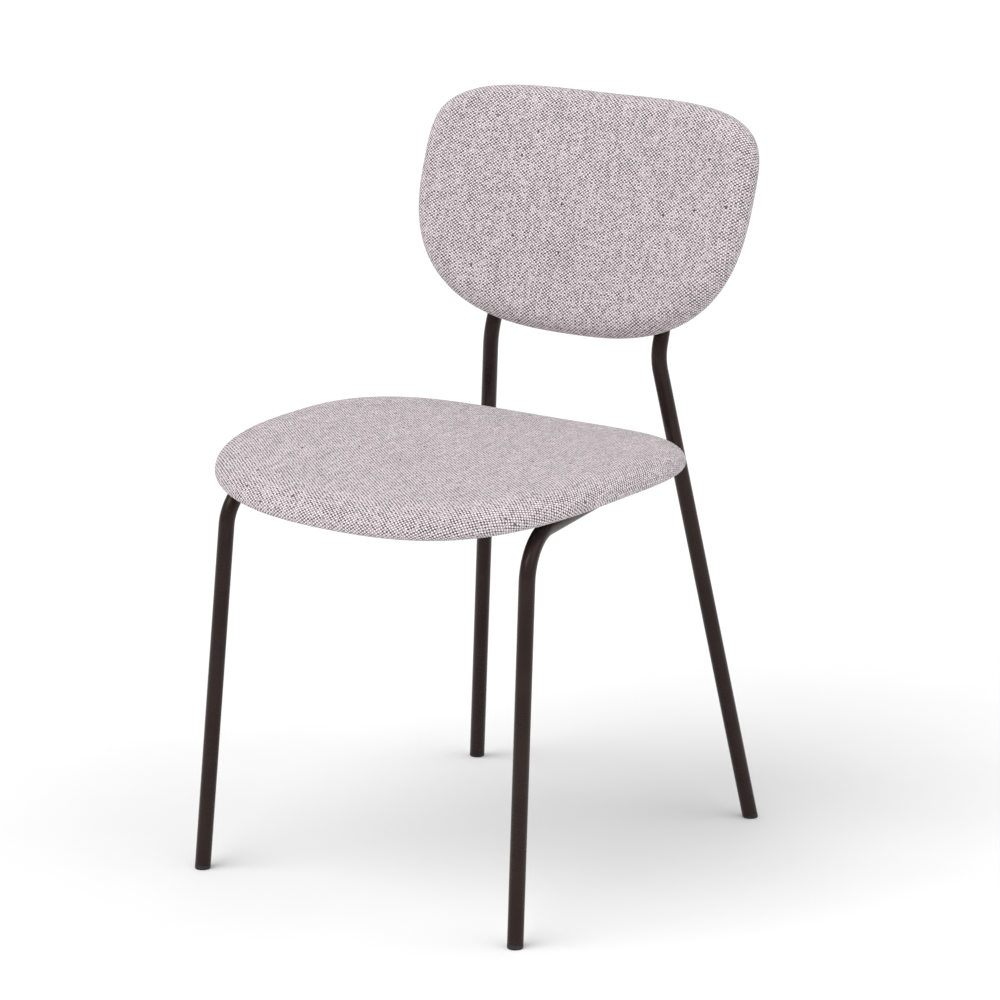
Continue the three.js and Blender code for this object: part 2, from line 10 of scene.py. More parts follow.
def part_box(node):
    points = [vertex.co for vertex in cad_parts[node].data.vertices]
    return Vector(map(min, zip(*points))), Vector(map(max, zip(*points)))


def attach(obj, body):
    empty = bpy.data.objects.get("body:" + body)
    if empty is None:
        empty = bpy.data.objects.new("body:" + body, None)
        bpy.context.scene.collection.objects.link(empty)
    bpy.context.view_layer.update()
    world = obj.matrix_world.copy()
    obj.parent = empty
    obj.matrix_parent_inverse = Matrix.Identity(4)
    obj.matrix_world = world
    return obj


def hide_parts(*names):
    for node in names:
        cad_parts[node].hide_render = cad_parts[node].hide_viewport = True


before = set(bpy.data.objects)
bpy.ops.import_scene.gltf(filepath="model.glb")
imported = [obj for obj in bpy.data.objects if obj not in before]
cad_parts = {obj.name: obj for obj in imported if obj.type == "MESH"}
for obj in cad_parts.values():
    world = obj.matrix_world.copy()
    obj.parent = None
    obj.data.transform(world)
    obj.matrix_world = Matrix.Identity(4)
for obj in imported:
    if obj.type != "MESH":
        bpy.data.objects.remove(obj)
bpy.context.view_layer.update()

MM = 0.001
RANDOM = np.random.default_rng(7)

# ------------------------------------------------------------------ dimensions, in millimetres

TUBE_RADIUS, TUBE_WALL = 9.0, 1.5
FRONT_FOOT, FRONT_SLOPE = (217.0, -239.0), (-0.031, 0.097)
REAR_FOOT, REAR_SLOPE = (198.0, 270.0), (-0.146, -0.151)
RAIL_HEIGHT, RAIL_BEND = 445.4, 54.0
POST_BEND_HEIGHT, POST_BEND = 559.0, 65.0
POST_TOP_HEIGHT, POST_TOP_SLOPE_X = 790.0, -0.03
CROSSBAR_RADIUS, CROSSBAR_WALL, CROSSBAR_HEIGHT = 5.0, 1.2, 442.6
CROSSBARS = {"front": -90.0, "rear": 120.0}
TAB_THICKNESS, TAB_WIDTH, TAB_REACH, TAB_HOLE, TAB_TOP = 3.0, 26.0, 36.0, 24.0, 452.2
TABS = {"front": -130.0, "rear": 87.0}
GLIDE_HEIGHT, PLUG_RADIUS, PLUG_LENGTH = 5.0, 7.0, 18.0
CAP_LIP, CAP_DOME = 0.9, 2.1
TUBE_SIDES, BAR_SIDES = 56, 48
TUBE_WELD, BAR_WELD = 1.5, 1.2  # radius of the beads
GAP = 0.3

SEAT_CENTRE_Y, SEAT_UNDERSIDE = -35.5, 450.0
SEAT_HALF_WIDTH, SEAT_FRONT_REACH, SEAT_REAR_REACH = 247.0, 243.5, 207.5
SEAT_FRONT_POWER, SEAT_REAR_POWER = 3.0, 2.55
SEAT_THICKNESS, SEAT_RIM = 33.0, 38.0
SEAT_EDGE = (15.0, 9.0, 44.0)  # lower width, lower height, upper width
SEAT_SIDE_RISE, SEAT_FRONT_FLAT, SEAT_FRONT_DROP = 17.5, 10.0, 13.5
RECLINE = math.radians(19)
BACK_CENTRE_HEIGHT, BACK_CURVE, BACK_STANDOFF = 745.0, 1030.0, 0.6
BACK_HALF_WIDTH, BACK_LOWER_REACH, BACK_UPPER_REACH = 226.0, 179.5, 103.0
BACK_LOWER_POWER, BACK_UPPER_POWER = 2.7, 3.6
BACK_THICKNESS, BACK_RIM = 33.5, 28.0
BACK_EDGE = (16.0, 16.0, 22.0)
BACK_SCREW_HEIGHTS = {"lower": 660.0, "upper": 760.0}

FABRIC, PLYWOOD, PLYWOOD_INSET, DUST_INSET = 1.5, 10.0, 5.0, 30.0
TEE_RECESS = 1.2
PAD_SLACK, CROWN = 3.0, 4.0  # the pad before it swells, and how far the cover stands proud
SEAT_PLEAT, BACK_PLEAT = 0.7, 0.25  # depth of the gathers in the rims
SCREW_RADIUS, HEAD_RADIUS, HEAD_HEIGHT, SOCKET = 3.0, 5.5, 3.3, 2.0

SIDES = {"left": -1, "right": 1}
UP = np.array((0.0, 0.0, 1.0))


# ------------------------------------------------------------------ materials


class Field:
    """A number worked out at each point of a surface. Arithmetic adds Math nodes."""

    def __init__(self, tree, socket):
        self.tree = tree
        self.socket = socket

    def math(self, operation, *others):
        node = self.tree.nodes.new("ShaderNodeMath")
        node.operation = operation
        for slot, value in zip(node.inputs, (self, *others)):
            if isinstance(value, Field):
                self.tree.links.new(value.socket, slot)
            else:
                slot.default_value = value
        return Field(self.tree, node.outputs[0])

    def __add__(self, other):
        return self.math("ADD", other)

    def __sub__(self, other):
        return self.math("SUBTRACT", other)

    def __mul__(self, other):
        return self.math("MULTIPLY", other)

    def __truediv__(self, other):
        return self.math("DIVIDE", other)

    def rise(self, low, high):
        """0 below low, 1 above high, smooth between."""
        node = self.tree.nodes.new("ShaderNodeMapRange")
        node.interpolation_type = "SMOOTHSTEP"
        self.tree.links.new(self.socket, node.inputs["Value"])
        node.inputs["From Min"].default_value = low
        node.inputs["From Max"].default_value = high
        return Field(self.tree, node.outputs["Result"])


class Finish:
    """A material and the nodes that feed its shader."""

    def __init__(self, name, slot, **constants):
        self.material = bpy.data.materials.new(name)
        self.material.use_nodes = True
        self.slot = slot
        self.tree = self.material.node_tree
        self.shader = self.tree.nodes["Principled BSDF"]
        for socket, value in constants.items():
            self.shader.inputs[socket.replace("_", " ")].default_value = value

    def node(self, kind, **links):
        node = self.tree.nodes.new(kind)
        for name, value in links.items():
            slot = node.inputs[name]
            if isinstance(value, Field):
                self.tree.links.new(value.socket, slot)
            elif isinstance(value, bpy.types.NodeSocket):
                self.tree.links.new(value, slot)
            else:
                slot.default_value = value
        return node

    def place(self, scale=(1, 1, 1), turn=(0, 0, 0)):
        """Object coordinates in metres, scaled."""
        coordinates = self.node("ShaderNodeTexCoord").outputs["Object"]
        mapping = self.node("ShaderNodeMapping", Vector=coordinates, Scale=scale, Rotation=turn)
        return mapping.outputs["Vector"]

    def noise(self, vector, scale, detail=3.0, roughness=0.5, distortion=0.0):
        node = self.node("ShaderNodeTexNoise", Vector=vector, Scale=scale, Detail=detail,
                         Roughness=roughness, Distortion=distortion)
        return Field(self.tree, node.outputs["Fac"])

    def cells(self, vector, scale, feature="F1", randomness=1.0):
        node = self.node("ShaderNodeTexVoronoi", Vector=vector, Scale=scale,
                         Randomness=randomness)
        node.feature = feature
        return Field(self.tree, node.outputs["Distance"])

    def blend(self, share, low, high):
        node = self.tree.nodes.new("ShaderNodeMix")
        node.data_type = "RGBA"
        self.tree.links.new(share.socket, node.inputs[0])
        for slot, value in ((node.inputs[6], low), (node.inputs[7], high)):
            if isinstance(value, bpy.types.NodeSocket):
                self.tree.links.new(value, slot)
            else:
                slot.default_value = (*value, 1)
        return node.outputs[2]

    def wear(self, colour=None, roughness=None, height=None, depth=0.001, strength=1.0):
        links = self.tree.links
        if colour is not None:
            links.new(colour, self.shader.inputs["Base Color"])
        if roughness is not None:
            links.new(roughness.socket, self.shader.inputs["Roughness"])
        if height is not None:
            bump = self.node("ShaderNodeBump", Height=height, Distance=depth, Strength=strength)
            links.new(bump.outputs["Normal"], self.shader.inputs["Normal"])
        return self


def powder_coat():
    finish = Finish("powder_coat", "powder_coated_steel", Specular_IOR_Level=0.27,
                    Specular_Tint=(1.0, 0.74, 0.69, 1.0))
    place = finish.place()
    peel = finish.noise(place, 620, 2)
    cloud = finish.noise(place, 22, 4)
    colour = finish.blend(cloud.rise(0.3, 0.7), (0.0135, 0.0085, 0.0077), (0.0195, 0.0125, 0.0115))
    roughness = cloud * 0.08 + peel * 0.05 + 0.21
    return finish.wear(colour, roughness, peel, 0.00022, 0.35)


def black_plastic():
    finish = Finish("moulded_plastic", "black_plastic", Specular_IOR_Level=0.45)
    place = finish.place()
    grain = finish.noise(place, 1500, 2)
    cloud = finish.noise(place, 60, 3)
    colour = finish.blend(cloud.rise(0.3, 0.7), (0.010, 0.009, 0.009), (0.017, 0.0155, 0.015))
    return finish.wear(colour, cloud * 0.15 + grain * 0.1 + 0.36, grain, 0.0001, 0.5)


def zinc_plate():
    finish = Finish("zinc_plate", "zinc_steel", Metallic=1.0)
    place = finish.place()
    cloud = finish.noise(place, 140, 4, 0.6)
    scratch = finish.noise(finish.place((1, 1, 14)), 420, 2)
    colour = finish.blend(cloud.rise(0.3, 0.7), (0.44, 0.44, 0.46), (0.62, 0.62, 0.60))
    return finish.wear(colour, cloud * 0.2 + scratch * 0.1 + 0.2, scratch, 0.00006, 0.4)


def birch_plywood():
    finish = Finish("birch_plywood", "plywood", Specular_IOR_Level=0.3)
    grain = finish.noise(finish.place((1, 0.06, 1)), 420, 5, 0.6, 0.4)
    band = finish.noise(finish.place((1, 0.12, 1)), 38, 4, 0.5, 1.2)
    colour = finish.blend(band.rise(0.3, 0.7), (0.60, 0.43, 0.25), (0.42, 0.27, 0.14))
    colour = finish.blend(grain.rise(0.45, 0.75), colour, (0.30, 0.18, 0.09))
    return finish.wear(colour, grain * 0.2 + 0.55, grain, 0.0003, 0.4)


def soft_foam():
    finish = Finish("cut_foam", "foam", Roughness=0.95, Specular_IOR_Level=0.2)
    pores = finish.cells(finish.place(), 900)
    cloud = finish.noise(finish.place(), 30, 3)
    # painted shade: each pore is coloured darker towards its middle, where the same field dents the
    # surface, standing in for the shade inside the pores
    colour = finish.blend(pores.rise(0.0, 0.5), (0.52, 0.42, 0.25), (0.80, 0.71, 0.50))
    colour = finish.blend(cloud.rise(0.5, 0.9), colour, (0.70, 0.58, 0.36))
    return finish.wear(colour, cloud * 0.1 + 0.85, pores, 0.0008, 0.6)


def dust_cloth():
    finish = Finish("spun_dust_cloth", "dust_felt", Specular_IOR_Level=0.25)
    fibres = finish.noise(finish.place(), 900, 4, 0.7, 1.5)
    dimples = finish.cells(finish.place((1, 1, 0)), 640, randomness=0.12)
    cloud = finish.noise(finish.place(), 45, 3)
    colour = finish.blend((fibres * 0.7 + cloud * 0.3).rise(0.35, 0.7),
                          (0.008, 0.008, 0.0085), (0.026, 0.025, 0.026))
    height = fibres * 0.5 + dimples.rise(0.1, 0.45) * 0.5
    return finish.wear(colour, fibres * 0.2 + 0.75, height, 0.0004, 0.6)


WARP_PITCH, WEFT_PITCH = 0.00255, 0.00190


def upholstery():
    """Plain weave of pale warp and grey melange weft, in cloth coordinates."""
    finish = Finish("woven_upholstery", "upholstery", Specular_IOR_Level=0.22,
                    Sheen_Weight=0.12, Sheen_Roughness=0.6,
                    Sheen_Tint=(1.0, 0.96, 0.97, 1.0))
    tree = finish.tree
    cloth = finish.node("ShaderNodeAttribute")
    cloth.attribute_name = "cloth"
    # the threads wander a little from their straight lines
    wander = finish.node("ShaderNodeTexNoise", Vector=cloth.outputs["Vector"], Scale=150, Detail=3)
    drift = finish.node("ShaderNodeVectorMath", Vector=wander.outputs["Color"])
    drift.operation = "MULTIPLY_ADD"
    drift.inputs[1].default_value = (0.0023, 0.0023, 0)
    tree.links.new(cloth.outputs["Vector"], drift.inputs[2])
    split = finish.node("ShaderNodeSeparateXYZ", Vector=drift.outputs["Vector"])
    across = Field(tree, split.outputs["X"]) / WARP_PITCH
    along = Field(tree, split.outputs["Y"]) / WEFT_PITCH
    warp, weft = across.math("FLOOR"), along.math("FLOOR")
    warp_bulge = ((across - warp - 0.5) * math.pi).math("COSINE")
    weft_bulge = ((along - weft - 0.5) * math.pi).math("COSINE")
    # over in one cell and under in the next, the two sets of threads out of step
    parity = ((warp + weft) * 0.5).math("FRACT") * 2.0
    warp_height = warp_bulge.math("POWER", 0.6) * 0.6 + weft_bulge * (parity * -0.8 + 0.4)
    weft_height = weft_bulge.math("POWER", 0.6) * 0.6 + warp_bulge * (parity * 0.8 - 0.4)
    height = warp_height.math("MAXIMUM", weft_height)
    on_top = (warp_height - weft_height).rise(-0.06, 0.06)

    def chance(first, second, seed):
        pair = finish.node("ShaderNodeCombineXYZ", X=first, Y=second, Z=seed)
        node = finish.node("ShaderNodeTexWhiteNoise", Vector=pair.outputs["Vector"])
        return Field(tree, node.outputs["Value"])

    def streak(scale):
        place = finish.node("ShaderNodeMapping", Vector=cloth.outputs["Vector"], Scale=scale)
        return finish.noise(place.outputs["Vector"], 1.0, 2)

    # the weft's grey changes from cell to cell and along each yarn, the warp's much less
    cell = chance(warp, weft, 1.5)
    lengths = (across / 3.0 + chance(0.0, weft, 4.5) * 3.0).math("FLOOR")
    weft_yarn = chance(lengths, weft, 5.5)
    warp_yarn = chance(warp, (along / 6.0).math("FLOOR"), 3.5)
    slub = streak((230, 20, 1))
    cloud = finish.noise(cloth.outputs["Vector"], 20, 3)
    darker_weft = (weft * 0.5).math("FRACT") * 0.24
    grey = cell * 0.62 + weft_yarn * 0.30 + slub * 0.75 + cloud * 0.30 - darker_weft - 0.55
    weft_colour = finish.blend(grey.rise(0.10, 0.85), (0.060, 0.047, 0.052), (0.53, 0.455, 0.478))
    pale = warp_yarn * 0.4 + cell * 0.4 + slub * 0.4
    warp_colour = finish.blend(pale.rise(0.10, 0.75), (0.70, 0.622, 0.650), (0.95, 0.868, 0.900))
    colour = finish.blend(on_top, weft_colour, warp_colour)
    fleck = (cell * 0.8 + warp_yarn * 0.2).rise(0.978, 0.986)
    colour = finish.blend(fleck, colour, (0.09, 0.074, 0.080))
    # painted shade: where the weave lies low, between the threads, the colour is darkened towards
    # near black to stand in for the shade in the gaps
    colour = finish.blend(height.rise(0.08, 0.72), (0.075, 0.060, 0.066), colour)
    fibre = finish.noise(cloth.outputs["Vector"], 2600, 2, 0.6)
    colour = finish.blend(fibre.rise(0.4, 0.8) * 0.12, colour, (0.86, 0.82, 0.83))
    return finish.wear(colour, fibre * 0.1 + 0.85, height + fibre * 0.12, 0.0010, 0.8)


COAT = powder_coat()
PLASTIC = black_plastic()
ZINC = zinc_plate()
WOOD = birch_plywood()
FOAM = soft_foam()
DUST = dust_cloth()
CLOTH = upholstery()


# ------------------------------------------------------------------ mesh building


def unit(vector):
    vector = np.asarray(vector, float)
    return vector / np.linalg.norm(vector)


def square_frame(direction):
    """Two unit vectors square to a direction and to each other."""
    helper = np.array((1.0, 0.0, 0.0)) if abs(direction[0]) < 0.9 else UP
    first = unit(np.cross(direction, helper))
    return first, np.cross(direction, first)


class Shape:
    """Closed bodies collected into one mesh, in millimetres."""

    def __init__(self):
        self.points = []
        self.faces = []
        self.count = 0

    def rings(self, rings, ends="cap"):
        """Skins a list of equal rings. Ends are capped on a middle point, or joined as a loop."""
        rings = [np.asarray(ring, float) for ring in rings]
        size = len(rings[0])
        base = self.count
        for ring in rings:
            self.points.extend(ring)
        self.count += size * len(rings)
        last = len(rings) - 1
        pairs = [(k, k + 1) for k in range(last)]
        if ends == "loop":
            pairs.append((last, 0))
        for here, there in pairs:
            for i in range(size):
                j = (i + 1) % size
                a, b = base + here * size, base + there * size
                self.faces.append((a + i, a + j, b + j, b + i))
        if ends == "cap":
            for ring, flip in ((0, True), (last, False)):
                middle = self.count
                self.points.append(rings[ring].mean(axis=0))
                self.count += 1
                start = base + ring * size
                for i in range(size):
                    edge = (start + i, start + (i + 1) % size)
                    self.faces.append((*(edge[::-1] if flip else edge), middle))
        return self

    def piece(self, name, finish, crease=35.0):
        mesh = bpy.data.meshes.new(name)
        mesh.from_pydata([tuple(point * MM) for point in self.points], [], self.faces)
        mesh.materials.append(finish.material)
        work = bmesh.new()
        work.from_mesh(mesh)
        bmesh.ops.recalc_face_normals(work, faces=work.faces)
        work.to_mesh(mesh)
        work.free()
        mesh.polygons.foreach_set("use_smooth", [True] * len(mesh.polygons))
        if crease:
            mesh.set_sharp_from_angle(angle=math.radians(crease))
        piece = bpy.data.objects.new(name, mesh)
        bpy.context.scene.collection.objects.link(piece)
        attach(piece, "root")
        return piece


def circle(sides):
    turn = np.linspace(0, 2 * math.pi, sides, endpoint=False)
    return np.cos(turn), np.sin(turn)


def lathe(shape, origin, direction, profile, sides=48):
    """Turns (radius, height) pairs about a direction. A radius may be one per side."""
    first, second = square_frame(direction)
    cos, sin = circle(sides)
    rings = []
    for radius, height in profile:
        rings.append(origin + direction * height + np.outer(cos * radius, first)
                     + np.outer(sin * radius, second))
    return shape.rings(rings)


def on_leg(foot, slope, sign, height):
    return np.array((sign * (foot[0] + slope[0] * height), foot[1] + slope[1] * height, height))


def front_leg(sign, height):
    return on_leg(FRONT_FOOT, FRONT_SLOPE, sign, height)


def rear_leg(sign, height):
    return on_leg(REAR_FOOT, REAR_SLOPE, sign, height)


def post(sign, height):
    rise = np.array((sign * POST_TOP_SLOPE_X, math.tan(RECLINE), 1.0))
    return rear_leg(sign, POST_BEND_HEIGHT) + rise * (height - POST_BEND_HEIGHT)


def rail(sign, y):
    front, rear = front_leg(sign, RAIL_HEIGHT), rear_leg(sign, RAIL_HEIGHT)
    return front + (rear - front) * (y - front[1]) / (rear[1] - front[1])


def leg_direction(leg, sign):
    return unit(leg(sign, 1.0) - leg(sign, 0.0))


def bent_path(start, corner, end, radius, steps=28):
    before, after = unit(corner - start), unit(end - corner)
    turn = math.acos(np.dot(before, after))
    bend = corner - before * radius * math.tan(turn / 2)
    inward = unit(after - before * np.dot(before, after))
    points = [start + (bend - start) * t for t in (0.0, 0.02, 0.5)]
    for angle in np.linspace(0, turn, steps):
        points.append(bend + before * radius * math.sin(angle)
                      + inward * radius * (1 - math.cos(angle)))
    tail = points[-1]
    points += [tail + (end - tail) * t for t in (0.5, 0.9, 1.0)]
    return np.array(points)


def reach_cylinder(point, direction, axis_point, axis, radius):
    """Distance from a point along a direction to the near side of a cylinder."""
    flat_way = direction - axis * np.dot(direction, axis)
    away = point - axis_point
    away = away - axis * np.dot(away, axis)
    a, b = np.dot(flat_way, flat_way), 2 * np.dot(flat_way, away)
    c = np.dot(away, away) - radius ** 2
    return (-b - math.sqrt(max(0.0, b * b - 4 * a * c))) / (2 * a)


def path_frames(path):
    """Tangents and a turning-free pair of side vectors along a path."""
    tangents = np.gradient(path, axis=0)
    tangents /= np.linalg.norm(tangents, axis=1)[:, None]
    first, _ = square_frame(tangents[0])
    sides = []
    for tangent in tangents:
        first = unit(first - tangent * np.dot(first, tangent))
        sides.append((first, np.cross(tangent, first)))
    return tangents, sides


def tube_rings(path, radius, sides, start_cope=None, end_cope=None):
    """Rings of a tube's wall. A cope is (point, axis, radius) of the cylinder that it meets."""
    cos, sin = circle(sides)
    tangents, frames = path_frames(path)
    rings = [point + np.outer(cos * radius, a) + np.outer(sin * radius, b)
             for point, (a, b) in zip(path, frames)]
    for index, near, cope in ((0, 1, start_cope), (-1, -2, end_cope)):
        if cope is None:
            continue
        way = unit(path[index] - path[near])
        rings[index] = np.array([point + way * reach_cylinder(point, way, *cope)
                                 for point in rings[near]])
    return rings


def tube(name, path, radius, wall, sides, finish, **copes):
    outer = tube_rings(path, radius, sides, **copes)
    inner = tube_rings(path, radius - wall, sides, **copes)
    return Shape().rings(outer + inner[::-1], ends="loop").piece(name, finish)


def bead(shape, line, radius, way, ripple=2.1):
    """A weld bead along a closed line, with the ripples that a torch leaves."""
    line = np.array(line)
    gaps = np.linalg.norm(np.roll(line, -1, axis=0) - line, axis=1)
    total = gaps.sum()
    count = max(8, round(total / ripple))
    steps = count * 6
    walk = np.concatenate([[0], np.cumsum(gaps)])
    closed = np.vstack([line, line[:1]])
    at = np.linspace(0, total, steps, endpoint=False)
    points = np.stack([np.interp(at, walk, closed[:, k]) for k in range(3)], axis=1)
    ahead = np.roll(points, -1, axis=0) - np.roll(points, 1, axis=0)
    cos, sin = circle(12)
    phase = (np.arange(steps) % 6) / 6
    swell = 1.0 + 0.16 * np.sin(math.pi * phase)
    rings = []
    for point, step, size in zip(points, ahead, swell):
        step = unit(step)
        side = unit(np.cross(step, way))
        lift = np.cross(side, step)
        rings.append(point + np.outer(cos * radius * size, side)
                     + np.outer(sin * radius * size, lift))
    return shape.rings(rings, ends="loop")


# ------------------------------------------------------------------ tube frame

welds = Shape()
for side, sign in SIDES.items():
    way = leg_direction(rear_leg, sign)
    meets_post = (rear_leg(sign, RAIL_HEIGHT), way, TUBE_RADIUS)
    start = front_leg(sign, 0) + leg_direction(front_leg, sign) * GLIDE_HEIGHT
    path = bent_path(start, front_leg(sign, RAIL_HEIGHT), rear_leg(sign, RAIL_HEIGHT), RAIL_BEND)
    leg = tube(f"front_leg_tube_{side}", path, TUBE_RADIUS, TUBE_WALL, TUBE_SIDES, COAT,
               end_cope=meets_post)
    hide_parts(f"front_leg_{side}")
    joint = tube_rings(path, TUBE_RADIUS - 0.7, TUBE_SIDES, end_cope=meets_post)[-1]
    bead(welds, joint, TUBE_WELD, unit(path[-1] - path[-2]))

    start = rear_leg(sign, 0) + way * GLIDE_HEIGHT
    path = bent_path(start, rear_leg(sign, POST_BEND_HEIGHT), post(sign, POST_TOP_HEIGHT),
                     POST_BEND)
    leg = tube(f"rear_post_tube_{side}", path, TUBE_RADIUS, TUBE_WALL, TUBE_SIDES, COAT)
    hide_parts(f"rear_post_{side}")

    top = post(sign, POST_TOP_HEIGHT)
    lean = unit(top - post(sign, POST_TOP_HEIGHT - 1))
    profile = [(0.01, -PLUG_LENGTH), (PLUG_RADIUS - 1, -PLUG_LENGTH),
               (PLUG_RADIUS, -PLUG_LENGTH + 2), (PLUG_RADIUS, GAP), (TUBE_RADIUS - 0.3, GAP),
               (TUBE_RADIUS, GAP + 0.3), (TUBE_RADIUS, GAP + CAP_LIP)]
    for turn in np.linspace(0.15, 0.98, 9) * math.pi / 2:
        profile.append((TUBE_RADIUS * math.cos(turn), GAP + CAP_LIP + CAP_DOME * math.sin(turn)))
    cap = lathe(Shape(), top, lean, profile).piece(f"post_end_cap_{side}", PLASTIC)
    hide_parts(f"post_cap_{side}")

for name, y in CROSSBARS.items():
    ends = [np.array((rail(sign, y)[0], y, CROSSBAR_HEIGHT)) for sign in (-1, 1)]
    start_cope, end_cope = [(rail(sign, y), unit(rail(sign, y + 1) - rail(sign, y)), TUBE_RADIUS)
                            for sign in (-1, 1)]
    copes = dict(start_cope=start_cope, end_cope=end_cope)
    path = np.array([ends[0] + (ends[1] - ends[0]) * t for t in (0, 0.1, 0.5, 0.9, 1)])
    bar = tube(f"crossbar_tube_{name}", path, CROSSBAR_RADIUS, CROSSBAR_WALL, BAR_SIDES, COAT,
               **copes)
    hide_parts(f"crossbar_{name}")
    rings = tube_rings(path, CROSSBAR_RADIUS + 0.1, BAR_SIDES, **copes)
    for end in (rings[0], rings[-1]):
        bead(welds, end, BAR_WELD, np.array((1.0, 0, 0)))


def foot_glide(leg, sign):
    """Plug and collar, with the collar's lower edge rounded where it meets the floor."""
    way = leg_direction(leg, sign)
    first, second = square_frame(way)
    cos, sin = circle(56)
    offsets = np.outer(cos, first) + np.outer(sin, second)
    foot = leg(sign, 0)

    def level(radius, height):
        ring = foot + offsets * radius
        return ring + np.outer((height - ring[:, 2]) / way[2], way)

    def square(radius, distance):
        return foot + way * distance + offsets * radius

    rings = [level(r, 0.0) for r in (0.05, 3.0, 6.0)]
    for turn in np.linspace(0, math.pi / 2, 7):
        rings.append(level(TUBE_RADIUS - 1.3 * (1 - math.sin(turn)), 1.3 * (1 - math.cos(turn))))
    rings.append(square(TUBE_RADIUS, GLIDE_HEIGHT - 0.9))
    rings.append(square(TUBE_RADIUS - 0.35, GLIDE_HEIGHT - 0.35))
    rings.append(square(PLUG_RADIUS, GLIDE_HEIGHT - 0.3))
    rings.append(square(PLUG_RADIUS, PLUG_LENGTH))
    rings.append(square(PLUG_RADIUS - 1.5, PLUG_LENGTH + 1.5))
    return Shape().rings(rings)


for side, sign in SIDES.items():
    for place, leg in (("front", front_leg), ("rear", rear_leg)):
        glide = foot_glide(leg, sign).piece(f"glide_{place}_{side}", PLASTIC)
        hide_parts(f"foot_glide_{place}_{side}")


def seat_screw_place(sign, y):
    place = rail(sign, y)
    return np.array((place[0] - sign * TAB_HOLE, y, TAB_TOP))


def seat_tab(sign, y):
    """Plate with rounded free corners and a drilled hole, its other end against the rail."""
    hole = seat_screw_place(sign, y)
    axis = rail(sign, y)
    slope = (rail(sign, y + 1) - axis)[0]
    turn = np.linspace(0, 2 * math.pi, 96, endpoint=False)
    level = TAB_TOP - TAB_THICKNESS / 2 - RAIL_HEIGHT
    clear = math.sqrt(TUBE_RADIUS ** 2 - level ** 2)
    corner, half = 5.0, TAB_WIDTH / 2
    far = TAB_REACH - TAB_HOLE

    def outline(shrink):
        ring = []
        for angle in turn:
            way = np.array((math.cos(angle), math.sin(angle)))
            low, high = 0.0, 60.0
            for _ in range(30):
                middle = (low + high) / 2
                x, y_here = way * middle
                # x runs from the hole towards the free end
                limit_x, limit_y = far - shrink, half - shrink
                near = -(TAB_HOLE - clear) + shrink
                over_x = x - (limit_x - corner)
                over_y = abs(y_here) - (limit_y - corner)
                outside = x > limit_x or abs(y_here) > limit_y or x < near
                if over_x > 0 and over_y > 0:
                    outside = math.hypot(over_x, over_y) > corner
                low, high = (low, middle) if outside else (middle, high)
            ring.append(way * low)
        return np.array(ring)

    def lift(ring, height):
        skew = slope * ring[:, 1]
        x = hole[0] - sign * ring[:, 0] + skew
        return np.stack([x, hole[1] + ring[:, 1], np.full(len(ring), height)], axis=1)

    bore = np.stack([np.cos(turn), np.sin(turn)], axis=1)
    top, bottom, edge = TAB_TOP, TAB_TOP - TAB_THICKNESS, 0.4
    rings = [lift(bore * 3.5, bottom + edge), lift(bore * 3.9, bottom),
             lift(outline(edge), bottom), lift(outline(0), bottom + edge),
             lift(outline(0), top - edge), lift(outline(edge), top),
             lift(bore * 3.9, top), lift(bore * 3.5, top - edge)]
    return Shape().rings(rings, ends="loop")


def screw(origin, direction, length):
    """Button head screw: hexagon socket, domed head and rolled thread."""
    sides = 48
    turn = np.linspace(0, 2 * math.pi, sides, endpoint=False)
    sixth = math.pi / 3
    hexagon = SOCKET / np.cos((turn + sixth / 2) % sixth - sixth / 2)
    profile = [(0.02, -HEAD_HEIGHT + 2.0), (hexagon * 0.98, -HEAD_HEIGHT + 1.9),
               (hexagon, -HEAD_HEIGHT + 0.25), (hexagon + 0.25, -HEAD_HEIGHT)]
    for angle in np.linspace(0.42, 0.97, 7) * math.pi / 2:
        profile.append((HEAD_RADIUS * math.sin(angle), -HEAD_HEIGHT * math.cos(angle) / 0.79))
    profile += [(HEAD_RADIUS, -0.25), (HEAD_RADIUS - 0.2, 0.0), (SCREW_RADIUS, 0.0)]
    for height in np.arange(1.0, length - 1.0, 0.5):
        crest = int(round(height * 2)) % 2
        profile.append((SCREW_RADIUS - (0.0 if crest else 0.5), height))
    profile += [(SCREW_RADIUS - 0.8, length), (0.02, length)]
    return lathe(Shape(), origin, direction, profile, sides)


for side, sign in SIDES.items():
    for place, y in TABS.items():
        tab = seat_tab(sign, y).piece(f"tab_{place}_{side}", COAT)
        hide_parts(f"seat_tab_{place}_{side}")
        axis, hole = rail(sign, y), seat_screw_place(sign, y)
        low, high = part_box(f"seat_{place}_{side}_screw")
        length = (high[2] - low[2]) / MM - HEAD_HEIGHT
        origin = hole - UP * (TAB_THICKNESS + GAP)
        piece = screw(origin, UP, length).piece(f"bolt_seat_{place}_{side}", ZINC)
        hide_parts(f"seat_{place}_{side}_screw")
        # a short weld under the tab, along the rail
        clear = math.sqrt(TUBE_RADIUS ** 2 - (TAB_TOP - TAB_THICKNESS - RAIL_HEIGHT) ** 2)
        foot = axis - np.array((sign * clear, 0, 0))
        along = unit(rail(sign, y + 1) - rail(sign, y))
        centre = np.array((foot[0], y, TAB_TOP - TAB_THICKNESS - 0.3))
        ends = [centre + along * t for t in np.linspace(-11, 11, 20)]
        below = [p + np.array((sign * 0.9, 0, -0.9)) for p in ends[::-1]]
        bead(welds, ends + below, BAR_WELD, UP)

welds.piece("frame_welds", COAT, crease=None)


# ------------------------------------------------------------------ cushions


